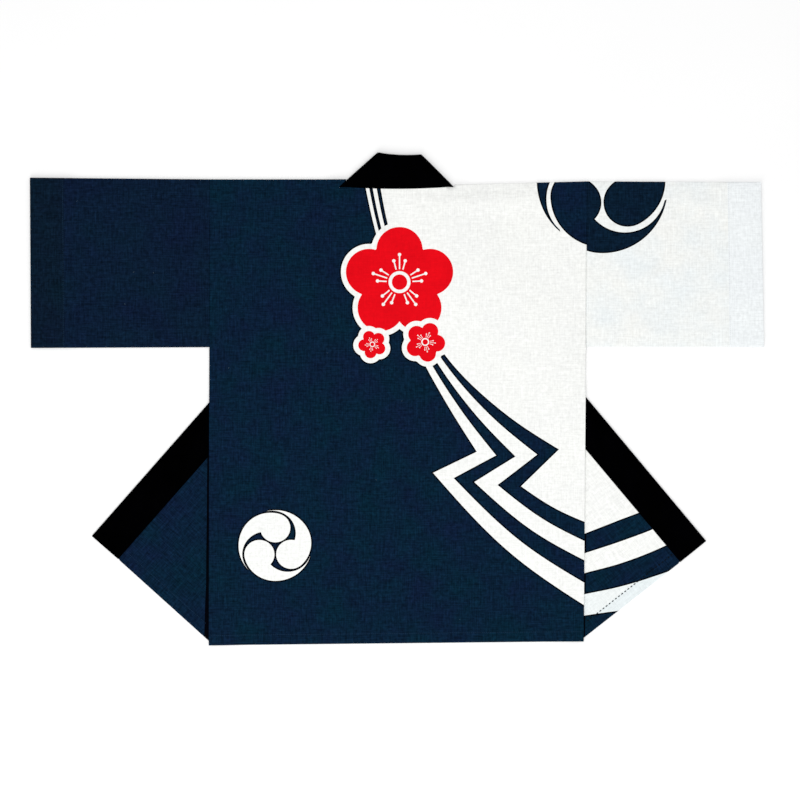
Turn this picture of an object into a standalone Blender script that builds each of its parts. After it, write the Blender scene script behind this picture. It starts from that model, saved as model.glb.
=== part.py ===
"""A happi coat laid flat on its front, with its back up and both fronts folded out to the sides.

Metres, +Z up, +Y towards the collar. The origin is on the table, under the middle of the coat.
Every piece of cloth starts as one flat open sheet. The sheet is folded along its fold lines, takes
its height from the layers that lie under it, and gets its thickness from Solidify.
"""
import math

import bpy
from mathutils import Vector
from mathutils.geometry import delaunay_2d_cdt

# Thicknesses, and the air between layers that lie on each other
CLOTH = 0.0010
COLLAR = 0.0022
AIR = 0.0006
SEAM_GAP = 0.0003

# Turned hems
BACK_HEM = 0.018
CUFF_HEM = 0.057

# How the cloth bends
FOLD_ROW = 0.0012          # half the width of cloth that goes round a fold
FOLD_STEPS = 4             # faces round a fold
FOLD_SETTLE = 0.010        # the cloth lies flat again this far from a fold
CLIMB_FAR = 0.018          # where a front starts to climb over the collar under it
CLIMB_NEAR = 0.004         # where it has climbed
DROP_START = 0.004         # past the collar's seam a front comes down again, from here
DROP_END = 0.022           # to here
DRAPE_FAR = 0.034          # where the back starts to climb over a front
DRAPE_NEAR = 0.004         # where it has climbed
SEAM_CLIMB = 0.014         # the back climbs from a front to its collar over this width
NECK_CLIMB = 0.045         # the back rises to the collar's seam at the neck over this length
NECK_FADE = 0.036          # and sideways from the neck over this width
CORNER_ROOM = 0.0008       # a front's edge stays this far from the collar where both fold
CORNER_LENGTH = 0.032      # and comes up to its seam over this length

# Grid of the cloth
CLOTH_GRID = 0.042
GRID_ROOM = 0.45           # a grid point keeps this share of the grid from every line
EDGE_ROOM = 0.06           # and a point on the outline this share from every other line
OVERRUN = 0.05             # rows run this far past the outline, which cuts them off
ROW_END = 0.004            # or end this far past a corner inside the cloth
SLEEVE_STATIONS = 6
SLEEVE_COLUMNS = 8
CUFF_RISE = 0.030          # the sleeve rises to its turned cuff hem over this length
CLIMB_ROWS = 4
COLLAR_COLUMNS = 4
COLLAR_STATIONS = 15
NECK_STATIONS = 5

COLLAR_RUN = 0.03          # rows that follow the folded collar run on over the hidden collar
FOLD_LEAN = 1.3            # how fast they leave the fold line, for each unit of depth

STEP = CLOTH + AIR
COLLAR_RISE = COLLAR + AIR
NECK_LIFT = 0.0005         # the stiff neck band stands this much clear of the collar under it
NECK_HEIGHT = COLLAR / 2 + COLLAR_RISE + NECK_LIFT
HEM_NEAR = BACK_HEM + 0.001
HEM_FAR = BACK_HEM + DRAPE_FAR / 2

# Where the corners lie, in millimetres from the middle of the coat
CORNERS = {
    # corner: (left x, left y, right x, right y)
    "hem": (-320.0, -418.7, 317.4, -411.9),
    "shoulder": (-318.3, 373.3, 323.4, 369.9),
    "underarm": (-318.9, 88.5, 321.0, 89.4),
    "cuff_top": (-623.8, 376.1, 618.7, 368.5),
    "cuff_low": (-622.1, 87.1, 623.8, 88.5),
    "neck": (-97.0, 360.8, 95.3, 360.8),
    "neck_cut": (-99.4, 359.8, 98.4, 359.8),
    "neck_seam": (-88.0, 360.5, 86.0, 360.5),
    "neck_fold": (-86.0, 373.3, 98.6, 364.3),
    "mitre": (-32.3, 418.7, 40.8, 415.3),
    "fold_top": (-38.0, 314.0, 40.0, 340.0),
    "fold_seam": (-98.0, 155.0, 98.0, 180.0),
    "fold_hem": (-314.3, -416.5, 312.1, -410.5),
    "front_seam": (-474.2, -272.3, 481.7, -277.4),
    "front_corner": (-519.1, -233.2, 525.9, -241.7),
}
MM = 0.001
WELD = 1e-6

COLOURS = {
    "navy cotton": ((0.0040, 0.0160, 0.0400), 0.85),
    "white cotton": ((0.93, 0.93, 0.92), 0.85),
    "black cotton": ((0.0025, 0.0025, 0.0030), 0.80),
}


def ramp(value, start, end):
    """Goes smoothly from 0 at start to 1 at end."""
    share = min(max((value - start) / (end - start), 0.0), 1.0)
    return share * share * (3.0 - 2.0 * share)


class Edge:
    """A straight line on the table. Distances are positive on the side of one given point."""

    def __init__(self, start, end, inside):
        self.start = start
        self.end = end
        self.along = (end - start).normalized()
        self.normal = Vector((-self.along.y, self.along.x))
        if self.normal.dot(inside - start) < 0:
            self.normal.negate()

    def distance(self, point):
        return self.normal.dot(point - self.start)

    def mirror(self, point):
        return point - self.normal * (2.0 * self.distance(point))

    def crossing(self, distance, start, end):
        """The place between two points that is this far from the line."""
        first = self.distance(start)
        return start.lerp(end, (distance - first) / (self.distance(end) - first))

    def row(self, distance, before=0.0, after=0.0):
        """A line beside this one, made longer or shorter at its two ends."""
        move = self.normal * distance
        return [self.start + move - self.along * before, self.end + move + self.along * after]


class Side:
    """The corners and lines of one half of the coat."""

    def __init__(self, column):
        for name, row in CORNERS.items():
            setattr(self, name, Vector((row[column], row[column + 1])) * MM)
        self.shoulder_line = Edge(self.shoulder, self.neck_fold, self.hem)
        self.fold = Edge(self.fold_hem, self.fold_top, self.hem)
        self.strip_edge = Edge(self.fold_top, self.front_corner, self.fold_hem)
        self.seam = Edge(self.fold_seam, self.neck, self.mitre)
        self.collar_edge = Edge(self.fold_top, self.mitre, self.neck)
        self.mitre_fold = Edge(self.neck, self.mitre, Vector((0.0, self.neck.y)))
        self.collar_width = self.strip_edge.distance(self.front_seam)

    def front_lift(self, place):
        """How high a front lies off the table, over its own part that is folded under it."""
        depth = self.strip_edge.distance(place)
        climbed = ramp(depth, -CLIMB_FAR, -CLIMB_NEAR) * COLLAR_RISE
        passed = ramp(depth, self.collar_width + DROP_START, self.collar_width + DROP_END)
        return climbed - passed * (COLLAR_RISE - STEP)

    def front_height(self, place):
        return CLOTH / 2 + self.front_lift(place)

    def back_lift(self, place):
        """How high the back lies off the table over this front and its collar."""
        over_front = ramp(self.fold.distance(place), -DRAPE_FAR, -DRAPE_NEAR)
        over_front *= ramp(self.collar_edge.distance(place), -DRAPE_FAR, -DRAPE_NEAR)
        over_collar = ramp(self.seam.distance(place), -SEAM_CLIMB, -DRAPE_NEAR)
        layers = self.front_lift(place) + STEP + over_collar * (COLLAR - CLOTH)
        return over_front * layers


LEFT = Side(0)
RIGHT = Side(2)
HEM = Edge(LEFT.hem, RIGHT.hem, LEFT.shoulder)
NECK = Edge(LEFT.neck, RIGHT.neck, LEFT.hem)


def side_of(place):
    return LEFT if place.x < 0 else RIGHT


def folded_height(place):
    """The height of a front's folded part, which lies on the table."""
    return CLOTH / 2


def front_height(place):
    return side_of(place).front_height(place)


def back_over_fronts(place):
    """The height of the back where it lies over the fronts, or on the table between them."""
    height = CLOTH / 2 + LEFT.back_lift(place) + RIGHT.back_lift(place)
    beside_neck = max(LEFT.neck.x - place.x, place.x - RIGHT.neck.x)
    at_neck = ramp(NECK.distance(place), NECK_CLIMB, 0.0) * ramp(beside_neck, NECK_FADE, CLOTH * 2)
    return height + at_neck * max(NECK_HEIGHT - height, 0.0)


def back_height(place):
    """The back is lifted by its own turned hem along the bottom."""
    over_hem = ramp(HEM.distance(place), HEM_FAR, HEM_NEAR)
    return back_over_fronts(place) + over_hem * STEP


def roll(point, line, top, bottom):
    """Takes a point of flat cloth round a fold line, from the layer on top to the one below."""
    distance = line.distance(point)
    place = point if distance >= 0 else line.mirror(point)
    high = top(place)
    low = bottom(place)
    radius = (high - low) / 2
    reach = abs(distance)
    if reach < FOLD_ROW:
        angle = distance / FOLD_ROW * math.pi / 2
        inset = radius * (1.0 - math.cos(angle))
        height = (high + low) / 2 + radius * math.sin(angle)
    else:
        inset = reach + (radius - FOLD_ROW) * ramp(reach, FOLD_SETTLE, FOLD_ROW)
        height = high if distance > 0 else low
    return place + line.normal * (inset - reach), height


def lay_body(point):
    """Lays one point of the flat body cloth: round the hem, the shoulder and a front's fold."""
    side = side_of(point)
    from_shoulder = side.shoulder_line.distance(point)
    in_neck = abs(point.x) <= abs(side.neck_cut.x) and point.y <= side.neck_seam.y
    if from_shoulder > FOLD_SETTLE or in_neck:
        place, height = roll(point, HEM, back_height, back_over_fronts)
    elif from_shoulder > -FOLD_SETTLE:
        place, height = roll(point, side.shoulder_line, back_height, front_height)
    else:
        on_front = side.shoulder_line.mirror(point)
        place, height = roll(on_front, side.fold, front_height, folded_height)
    return Vector((place.x, place.y, height))


def fold_rows(line, before=0.0, after=0.0):
    """The rows of a fold, and one each side where the cloth lies flat again."""
    steps = [2 * step / FOLD_STEPS - 1 for step in range(FOLD_STEPS + 1)]
    offsets = [FOLD_ROW * step for step in steps] + [-FOLD_SETTLE, FOLD_SETTLE]
    return [line.row(offset, before, after) for offset in offsets]


def spread(start, end, count):
    return [start + (end - start) * step / (count - 1) for step in range(count)]


def flatten_front(side, place):
    """Where a place on a front, with the front not folded out, is on the flat cloth."""
    return side.shoulder_line.mirror(place)


def flatten_folded(side, place):
    """Where a place on a front's folded part is on the flat cloth."""
    return side.shoulder_line.mirror(side.fold.mirror(place))


def front_outline(side):
    """The outline of one front on the flat cloth, from its armhole side round to the neck."""
    side_line = Edge(side.shoulder, side.hem, side.neck)
    side_low = side_line.start + side_line.along * (side.shoulder - side.fold_hem).y
    into_cloth = side.seam.normal * -1.0
    folded_seam = Edge(side.fold_seam, side.front_seam, side.fold_hem)
    slope = abs(side.fold.normal.dot(folded_seam.along) / side.fold.along.dot(folded_seam.along))
    down_fold = (side.fold_hem - side.fold_seam).normalized()
    beside_fold = side.fold_seam + side.fold.normal * FOLD_ROW * 2
    beside_fold += down_fold * ((FOLD_ROW * 2 + CORNER_ROOM) / slope)
    above_fold = side.seam.row(0.0, -CORNER_LENGTH)[0] + into_cloth * SEAM_GAP
    past_fold = folded_seam.row(SEAM_GAP, -CORNER_LENGTH)[0]
    hem_end = folded_seam.row(SEAM_GAP)[1]
    return [
        flatten_front(side, side_low),
        flatten_front(side, side.fold_hem),
        flatten_folded(side, hem_end),
        flatten_folded(side, past_fold),
        flatten_folded(side, beside_fold),
        flatten_front(side, beside_fold),
        flatten_front(side, above_fold),
        flatten_front(side, side.neck_cut),
        side.neck_fold,
        side.neck_cut,
        side.neck_seam,
    ]


def body_outline():
    """The whole body cut flat: back in the middle, a front above each shoulder."""
    left_in = HEM.mirror(LEFT.hem + (LEFT.shoulder - LEFT.hem).normalized() * BACK_HEM)
    right_in = HEM.mirror(RIGHT.hem + (RIGHT.shoulder - RIGHT.hem).normalized() * BACK_HEM)
    right_front = front_outline(RIGHT)
    left_front = front_outline(LEFT)
    left_front.reverse()
    return [left_in, right_in, RIGHT.hem, RIGHT.shoulder] + right_front + left_front + [
        LEFT.shoulder, LEFT.hem]


def body_rows():
    """The lines that the body's faces follow: its folds, and where it climbs over other layers."""
    rows = fold_rows(HEM, OVERRUN, OVERRUN)
    for climb in spread(HEM_NEAR, HEM_FAR, CLIMB_ROWS - 1):
        rows.append(HEM.row(climb, OVERRUN, OVERRUN))
    for side in (LEFT, RIGHT):
        rows += fold_rows(side.shoulder_line, OVERRUN, FOLD_ROW)
        past_seam = ROW_END - (side.fold_top - side.fold_seam).length
        for line in fold_rows(side.fold, OVERRUN, past_seam):
            rows.append([flatten_front(side, place) for place in line])
        climbs = spread(-CLIMB_FAR, -CLIMB_NEAR, CLIMB_ROWS)
        climbs += spread(side.collar_width + DROP_START, side.collar_width + DROP_END, CLIMB_ROWS - 1)
        hidden_share = (side.hem.x - side.fold_top.x) / (side.front_corner.x - side.fold_top.x)
        past_side = OVERRUN - (1.0 - hidden_share) * (side.front_corner - side.fold_top).length
        for climb in climbs:
            rows.append(side.strip_edge.row(climb, COLLAR_RUN, past_side))
            # On the front itself a row inside the folded part starts past the fold line.
            start, end = side.strip_edge.row(climb, 0.0, past_side)
            start += side.strip_edge.along * max(climb, 0.0) * FOLD_LEAN
            rows.append([flatten_front(side, start), flatten_front(side, end)])
        for climb in spread(-DRAPE_FAR, -DRAPE_NEAR, CLIMB_ROWS):
            rows.append(side.fold.row(climb, OVERRUN, 0.0))
            rows.append(side.collar_edge.row(climb, 0.0, side.neck.y - side.mitre.y))
        for climb in spread(-SEAM_CLIMB, -DRAPE_NEAR, CLIMB_ROWS - 1):
            rows.append(side.seam.row(climb))
    for climb in spread(NECK_CLIMB, 0.0, CLIMB_ROWS)[:-1]:
        rows.append(NECK.row(climb, NECK_FADE, NECK_FADE))
    return rows


def distance_to_row(point, row):
    start, end = row
    length = (end - start).length
    along = (end - start) / length
    share = min(max((point - start).dot(along), 0.0), length)
    return (start + along * share - point).length


def inside(point, outline):
    """True if a vertical ray from the point crosses the outline an odd number of times."""
    crossed = False
    for place, following in zip(outline, outline[1:] + outline[:1]):
        if (place.y > point.y) != (following.y > point.y):
            share = (point.y - place.y) / (following.y - place.y)
            if point.x < place.x + (following.x - place.x) * share:
                crossed = not crossed
    return crossed


def cut_cloth(outline, rows, grid):
    """Points and faces of a flat cut: along its outline and rows, and on a grid between them."""
    edges = [list(pair) for pair in zip(outline, outline[1:] + outline[:1])]
    lines = edges + rows
    points = []
    links = []
    for index, (start, end) in enumerate(lines):
        count = max(2, round((end - start).length / grid) + 1)
        others = [line for other, line in enumerate(lines) if other != index]
        kept = [start]
        for place in spread(start, end, count)[1:-1]:
            room = min(distance_to_row(place, line) for line in others)
            if index >= len(edges) or room > grid * EDGE_ROOM:
                kept.append(place)
        kept.append(end)
        first = len(points)
        points += kept
        links += [(first + step, first + step + 1) for step in range(len(kept) - 1)]
    low_x = min(place.x for place in outline)
    high_x = max(place.x for place in outline)
    low_y = min(place.y for place in outline)
    high_y = max(place.y for place in outline)
    for row in range(int((high_y - low_y) / grid) + 1):
        shift = grid / 2 if row % 2 else 0.0
        for column in range(int((high_x - low_x) / grid) + 1):
            place = Vector((low_x + shift + column * grid, low_y + (row + 0.5) * grid))
            room = min(distance_to_row(place, line) for line in lines)
            if inside(place, outline) and room > grid * GRID_ROOM:
                points.append(place)
    found, _, triangles, _, _, _ = delaunay_2d_cdt(points, links, [], 0, WELD)
    kept = []
    for triangle in triangles:
        middle = sum((found[corner] for corner in triangle), Vector((0.0, 0.0))) / len(triangle)
        if inside(middle, outline):
            kept.append(list(triangle))
    return found, kept


def make_sheet(name, places, faces, thickness, material, collection):
    """An open sheet of cloth as an object, with its wall from Solidify."""
    mesh = bpy.data.meshes.new(name)
    used = sorted({corner for face in faces for corner in face})
    renumber = {old: new for new, old in enumerate(used)}
    mesh.from_pydata(
        [places[corner] for corner in used], [], [[renumber[corner] for corner in face] for face in faces])
    mesh.validate()
    mesh.shade_smooth()
    sheet = bpy.data.objects.new(name, mesh)
    collection.objects.link(sheet)
    sheet.data.materials.append(material)
    wall = sheet.modifiers.new("wall", "SOLIDIFY")
    wall.thickness = thickness
    wall.offset = 0.0
    wall.use_even_offset = True
    wall.use_quality_normals = True
    return sheet


def make_body(material, collection):
    """Back and both fronts in one piece, folded over the shoulders."""
    flat, faces = cut_cloth(body_outline(), body_rows(), CLOTH_GRID)
    places = [lay_body(point) for point in flat]
    return make_sheet("body", places, faces, CLOTH, material, collection)


def sleeve_ring(top, low, half, inset, columns):
    """One ring round a flat tube: along the table, round the top, back on top, round the bottom."""
    down = (low - top).normalized()
    upper_centre = top + down * half
    lower_centre = low - down * half
    radius = half - inset
    middle = CLOTH / 2 + half
    ring = []
    for place in spread(lower_centre, upper_centre, columns):
        ring.append(Vector((place.x, place.y, middle - radius)))
    for step in range(1, FOLD_STEPS):
        angle = math.pi * step / FOLD_STEPS
        place = upper_centre - down * (radius * math.sin(angle))
        ring.append(Vector((place.x, place.y, middle - radius * math.cos(angle))))
    for place in spread(upper_centre, lower_centre, columns):
        ring.append(Vector((place.x, place.y, middle + radius)))
    for step in range(1, FOLD_STEPS):
        angle = math.pi * step / FOLD_STEPS
        place = lower_centre + down * (radius * math.sin(angle))
        ring.append(Vector((place.x, place.y, middle + radius * math.cos(angle))))
    return ring


def make_sleeve(name, side, material, collection):
    """A flat tube from the armhole to the cuff, where the hem is turned in."""
    hem_step = CLOTH + SEAM_GAP
    half_arm = STEP / 2
    half_cuff = hem_step * 1.5         # four layers, middle to middle
    length = (side.cuff_top - side.shoulder).length
    hem_edge = length - CUFF_HEM
    rise_start = hem_edge - CUFF_RISE
    rise_end = hem_edge - SEAM_GAP
    stations = []
    for step in spread(SEAM_GAP, rise_start, SLEEVE_STATIONS):
        stations.append((step, half_arm, 0.0))
    for step in spread(rise_start, rise_end, CLIMB_ROWS)[1:]:
        rise = ramp(step, rise_start, rise_end)
        stations.append((step, half_arm + (half_cuff - half_arm) * rise, 0.0))
    stations.append((length - CUFF_HEM / 2, half_cuff, 0.0))
    radius = hem_step / 2
    for step in range(FOLD_STEPS + 1):
        angle = math.pi * step / FOLD_STEPS
        reach = length - radius + radius * math.sin(angle)
        stations.append((reach, half_cuff, radius * (1.0 - math.cos(angle))))
    stations.append((length - CUFF_HEM / 2, half_cuff, hem_step))
    stations.append((hem_edge, half_cuff, hem_step))
    places = []
    for reach, half, inset in stations:
        share = reach / length
        top = side.shoulder.lerp(side.cuff_top, share)
        low = side.underarm.lerp(side.cuff_low, share)
        places += sleeve_ring(top, low, half, inset, SLEEVE_COLUMNS)
    around = len(places) // len(stations)
    faces = []
    for station in range(len(stations) - 1):
        for step in range(around):
            here = station * around
            following = (step + 1) % around
            faces.append([here + step, here + following, here + around + following, here + around + step])
    return make_sheet(name, places, faces, CLOTH, material, collection)


def rulings_round_fold(line, inner, outer, top, bottom, top_way, bottom_way):
    """Lines across the collar as it goes round a fold, from the layer on top to the one below.

    A way is the pair of directions in which the collar's two edges leave the fold.
    """
    radius = (top - bottom) / 2
    rulings = []
    for step in range(FOLD_STEPS + 1):
        angle = math.pi / 2 - math.pi * step / FOLD_STEPS
        ways = top_way if angle >= 0 else bottom_way
        inset = radius * (1.0 - math.cos(angle))
        ends = []
        for place, way in zip((inner, outer), ways):
            ends.append(place + way * (inset / line.normal.dot(way)))
        rulings.append((ends[0], ends[1], (top + bottom) / 2 + radius * math.sin(angle)))
    return rulings


def collar_half(side, middle):
    """Lines across the collar from the middle of the neck to its end at a front's hem."""
    neck_inner, neck_outer = middle
    mitre_ways = ((neck_inner - side.neck).normalized(), (neck_outer - side.mitre).normalized())
    down_ways = ((side.fold_seam - side.neck).normalized(), (side.fold_top - side.mitre).normalized())
    up_ways = (down_ways[0] * -1.0, down_ways[1] * -1.0)
    out_ways = ((side.front_seam - side.fold_seam).normalized(),
                (side.front_corner - side.fold_top).normalized())
    rulings = []
    for share in spread(0.0, 1.0, NECK_STATIONS)[:-1]:
        rulings.append((neck_inner.lerp(side.neck, share), neck_outer.lerp(side.mitre, share), NECK_HEIGHT))
    rulings += rulings_round_fold(
        side.mitre_fold, side.neck, side.mitre, NECK_HEIGHT, COLLAR / 2, mitre_ways, down_ways)
    for depth in [-CLIMB_FAR * 2] + spread(-CLIMB_FAR, -CLIMB_NEAR, CLIMB_ROWS):
        height = COLLAR / 2 + ramp(depth, -CLIMB_FAR, -CLIMB_NEAR) * COLLAR_RISE
        inner = side.strip_edge.crossing(depth, side.neck, side.fold_seam)
        outer = side.strip_edge.crossing(depth, side.mitre, side.fold_top)
        rulings.append((inner, outer, height))
    fold = rulings_round_fold(
        side.fold, side.fold_seam, side.fold_top, COLLAR / 2 + COLLAR_RISE, COLLAR / 2, up_ways, out_ways)
    for share in spread(0.0, 1.0, CLIMB_ROWS)[1:-1]:
        rulings.append((inner.lerp(fold[0][0], share), outer.lerp(fold[0][1], share), height))
    rulings += fold
    for share in spread(0.0, 1.0, COLLAR_STATIONS)[1:]:
        rulings.append((
            fold[-1][0].lerp(side.front_seam, share), fold[-1][1].lerp(side.front_corner, share),
            COLLAR / 2))
    return rulings


def make_collar(material, collection):
    """One doubled band, folded at both mitres and at both fronts' folds."""
    neck_inner = (LEFT.neck + RIGHT.neck) / 2
    neck_outer = (LEFT.mitre + RIGHT.mitre) / 2
    left = collar_half(LEFT, (neck_inner, neck_outer))
    right = collar_half(RIGHT, (neck_inner, neck_outer))
    left.reverse()
    rulings = left + right[1:]
    places = []
    for inner, outer, height in rulings:
        for place in spread(inner, outer, COLLAR_COLUMNS + 1):
            places.append(Vector((place.x, place.y, height)))
    faces = []
    across = COLLAR_COLUMNS + 1
    for ruling in range(len(rulings) - 1):
        for column in range(COLLAR_COLUMNS):
            corner = ruling * across + column
            faces.append([corner, corner + 1, corner + across + 1, corner + across])
    return make_sheet("collar", places, faces, COLLAR, material, collection)


def make_material(name):
    colour, roughness = COLOURS[name]
    material = bpy.data.materials.new(name)
    material.use_nodes = True
    shader = material.node_tree.nodes["Principled BSDF"]
    shader.inputs["Base Color"].default_value = (*colour, 1.0)
    shader.inputs["Roughness"].default_value = roughness
    shader.inputs["Metallic"].default_value = 0.0
    return material


def main():
    for old in list(bpy.data.objects):
        bpy.data.objects.remove(old, do_unlink=True)
    collection = bpy.data.collections.new("Happi coat")
    bpy.context.scene.collection.children.link(collection)
    navy = make_material("navy cotton")
    white = make_material("white cotton")
    black = make_material("black cotton")
    make_body(navy, collection)
    make_sleeve("sleeve_left", LEFT, navy, collection)
    make_sleeve("sleeve_right", RIGHT, white, collection)
    make_collar(black, collection)


main()
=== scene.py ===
import random
from math import acos, atan2, ceil, cos, degrees, exp, pi, radians, sin, sqrt, tau

import bmesh
import bpy
import numpy as np
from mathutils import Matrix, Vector
from mathutils.geometry import delaunay_2d_cdt
from mathutils.kdtree import KDTree


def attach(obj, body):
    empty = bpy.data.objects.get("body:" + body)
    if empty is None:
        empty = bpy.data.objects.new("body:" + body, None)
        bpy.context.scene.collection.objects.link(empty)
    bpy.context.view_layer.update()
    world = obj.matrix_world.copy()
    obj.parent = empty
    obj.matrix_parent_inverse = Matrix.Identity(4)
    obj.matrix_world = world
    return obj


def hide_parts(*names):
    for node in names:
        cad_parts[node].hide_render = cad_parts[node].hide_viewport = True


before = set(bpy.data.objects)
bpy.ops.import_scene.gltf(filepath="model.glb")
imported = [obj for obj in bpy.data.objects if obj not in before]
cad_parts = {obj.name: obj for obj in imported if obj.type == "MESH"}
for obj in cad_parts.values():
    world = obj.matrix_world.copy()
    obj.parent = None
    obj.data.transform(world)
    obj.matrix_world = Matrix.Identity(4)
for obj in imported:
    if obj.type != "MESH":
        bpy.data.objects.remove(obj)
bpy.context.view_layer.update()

MM = 0.001
UP = Vector((0.0, 0.0, 1.0))
RANDOM = random.Random(7)

# Layers of the solids that this cloth lies in
SOLID_CLOTH = 1.0 * MM
SOLID_COLLAR = 2.2 * MM
AIR = 0.6 * MM
STEP = SOLID_CLOTH + AIR
COLLAR_RISE = SOLID_COLLAR + AIR
NECK_HEIGHT = SOLID_COLLAR / 2 + COLLAR_RISE + 0.5 * MM

# The cloth itself
WALL = 0.6 * MM            # happi cotton
BAND_HALF = 0.7 * MM       # from the middle of the doubled collar to each of its two layers
BAND_WALL = 0.5 * MM       # one layer of the collar
TUCK = 3.0 * MM            # cloth sewn in between the two layers of the collar, or under a seam
SEAM_GAP = 0.3 * MM
SEAM_DIP = 0.20 * MM       # a pressed seam lies this much lower than the cloth beside it
SEAM_REACH = 5.0 * MM
SIDE_ROLL = 2.5 * MM       # back and front meet at a side seam within this width
SEAM_EASE = 9.0 * MM       # a front goes into the thickness of its collar over this width
TUCK_END = 1.6 * MM        # the sleeve goes in under the armhole's seam within this width
HEM_PRESS = 0.15 * MM      # turned or tucked cloth is pressed this much closer
SEWN_IN = 1.5 * MM         # a hem is sewn this far inside its raw edge
THREAD_SIDES = 6
THREAD = 0.8 * MM          # sewing thread, really 0.3 mm, drawn as thick as it needs to show
STITCH_PITCH = 3.2 * MM
LONG_THREAD = 1.7 * MM     # the dark thread of the right front's hem, with longer stitches
LONG_PITCH = 6.8 * MM

# Turned hems
BACK_HEM = 18.0 * MM
FRONT_HEM = 20.0 * MM
CUFF_HEM = 57.0 * MM
HEM_STEP = 0.7 * MM        # from the turned layer to the layer on it
HEM_EASE = 5.0 * MM        # the cloth comes down from a hem over this width

# Creases and swells
CREASE_BOW = 0.35          # a crease bends aside by this share of its width
RELIEF_NEAR = 4.0 * MM     # they start this far from a fold
RELIEF_FAR = 22.0 * MM     # and are whole this far from it
DEEPEST = 0.3 * MM         # no trough goes deeper

# How the cloth bends
FOLD_ROW = 1.2 * MM
FOLD_STEPS = 6
FOLD_SETTLE = 10.0 * MM
CLIMB_FAR = 18.0 * MM
CLIMB_NEAR = 4.0 * MM
DROP_START = 4.0 * MM
DROP_END = 22.0 * MM
DRAPE_FAR = 60.0 * MM
BACK_CLIMB = 100.0 * MM      # the back bridges the step beside a hidden collar with one long slope
DRAPE_NEAR = 4.0 * MM
SEAM_CLIMB = 14.0 * MM
NECK_CLIMB = 45.0 * MM
NECK_FADE = 36.0 * MM
NECK_SAG = 3.6 * MM          # how much lower the collar hangs in the middle of the neck
CORNER_ROOM = 0.8 * MM
CORNER_LENGTH = 32.0 * MM
CUFF_RISE = 30.0 * MM

# Meshes
GRID = 6.0 * MM
GRID_ROOM = 0.5            # a grid point keeps this share of the grid from every line
PRINT_STEP = 3.0 * MM
COLLAR_COLUMNS = 8
COLLAR_TURN = 8
NECK_LINES = 12
FRONT_LINES = 70
OVERRUN = 50.0 * MM
ROW_END = 4.0 * MM
WELD = 1e-6

# Sizes in the materials
WAVE_PITCH = 0.314         # a wave texture repeats after this length at a scale of 1
YARN_PITCH = 2.3 * MM
SLUB_WIDTH = 1.6 * MM
SLUB_LENGTH = 30.0 * MM
FLECK = 6.0 * MM           # dye takes unevenly in spots of this size
CLOUD = 85.0 * MM          # and drifts over areas of this size
TWIST_PITCH = 1.2 * MM

# Floor, camera and light
FLOOR_RADIUS = 6.0
FLOOR_DROP = 0.5 * MM      # the floor lies this much under the cloth
CAMERA_PLACE = (0.0051, -0.0017, 3.215)
LENS = 85.0
OVERHEAD_POWER = 56.0
SIDE_POWER = 34.0
WORLD_STRENGTH = 0.60

# Where the corners lie, in millimetres from the middle of the coat
CORNERS = {
    # corner: (left x, left y, right x, right y)
    "hem": (-320.0, -418.7, 317.4, -411.9),
    "shoulder": (-318.3, 373.3, 323.4, 369.9),
    "underarm": (-318.9, 88.5, 321.0, 89.4),
    "cuff_top": (-623.8, 376.1, 618.7, 368.5),
    "cuff_low": (-622.1, 87.1, 623.8, 88.5),
    "neck": (-97.0, 360.8, 95.3, 360.8),
    "neck_cut": (-99.4, 359.8, 98.4, 359.8),
    "neck_seam": (-88.0, 360.5, 86.0, 360.5),
    "neck_fold": (-86.0, 373.3, 98.6, 364.3),
    "mitre": (-32.3, 418.7, 40.8, 415.3),
    "fold_top": (-38.0, 314.0, 40.0, 340.0),
    "fold_seam": (-98.0, 155.0, 98.0, 180.0),
    "fold_hem": (-314.3, -416.5, 312.1, -410.5),
    "front_seam": (-474.2, -272.3, 481.7, -277.4),
    "front_corner": (-519.1, -233.2, 525.9, -241.7),
}

# Painted shadow: the fronts are dyed darker beside the back's side edge, as the shadow that edge casts on
# them
LEFT_PAINTED_SHADOW = (
    (-312, -80), (-322.6, -88), (-323.4, -150), (-323.8, -210), (-324.6, -262), (-325.0, -315),
    (-326.6, -350), (-327.4, -385), (-327.8, -412), (-312, -424),
)
RIGHT_PAINTED_SHADOW = (
    (310, -226), (322.4, -228), (321.9, -262), (321.4, -300), (320.6, -350), (319.8, -404), (310, -420),
)

# Creases of the cloth as it lies, in millimetres. A ridge has a height above 0, a trough below.
BACK_CREASES = (
    # start x, start y, end x, end y, width, height
    (-300, 322, -232, 315, 12, 1.8),
    (-306, 243, -236, 239, 10, 1.6),
    (-300, 200, -262, 196, 8, 0.8),
    (-285, 300, -96, 336, 30, 1.8),
    (-250, 272, -120, 300, 22, -1.0),
    (20, 346, 316, 344, 24, 3.0),
    (-310, 350, -110, 348, 20, 1.4),
    (214, 300, 306, 286, 14, 1.0),
    (-92, -384, 2, -383, 7, 1.8),
    (84, -389, 200, -388, 7, 1.6),
    (-228, -386, -150, -388, 6, 0.8),
    (246, -386, 288, -384, 6, 0.8),
    (-150, 60, -108, -170, 26, 0.9),
    (60, 180, 96, 20, 24, 0.7),
    (-262, -60, -236, -210, 20, 0.8),
    (30, -220, 6, -330, 20, 0.8),
    (250, 120, 268, -20, 18, 0.7),
)
SLEEVE_CREASES = (
    # x from the armhole outwards and y down from the top fold
    (14, 40, 92, 58, 12, 1.5),
    (10, 92, 70, 122, 11, 1.3),
    (40, 176, 150, 158, 16, 1.1),
    (120, 30, 226, 44, 18, 1.3),
    (150, 224, 232, 236, 12, 1.0),
    (60, 250, 150, 262, 10, 0.9),
)
FRONT_CREASES = (
    # x out from the middle of the coat
    (345, -150, 420, -214, 12, 1.0),
    (350, -262, 402, -262, 9, 0.8),
)

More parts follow.
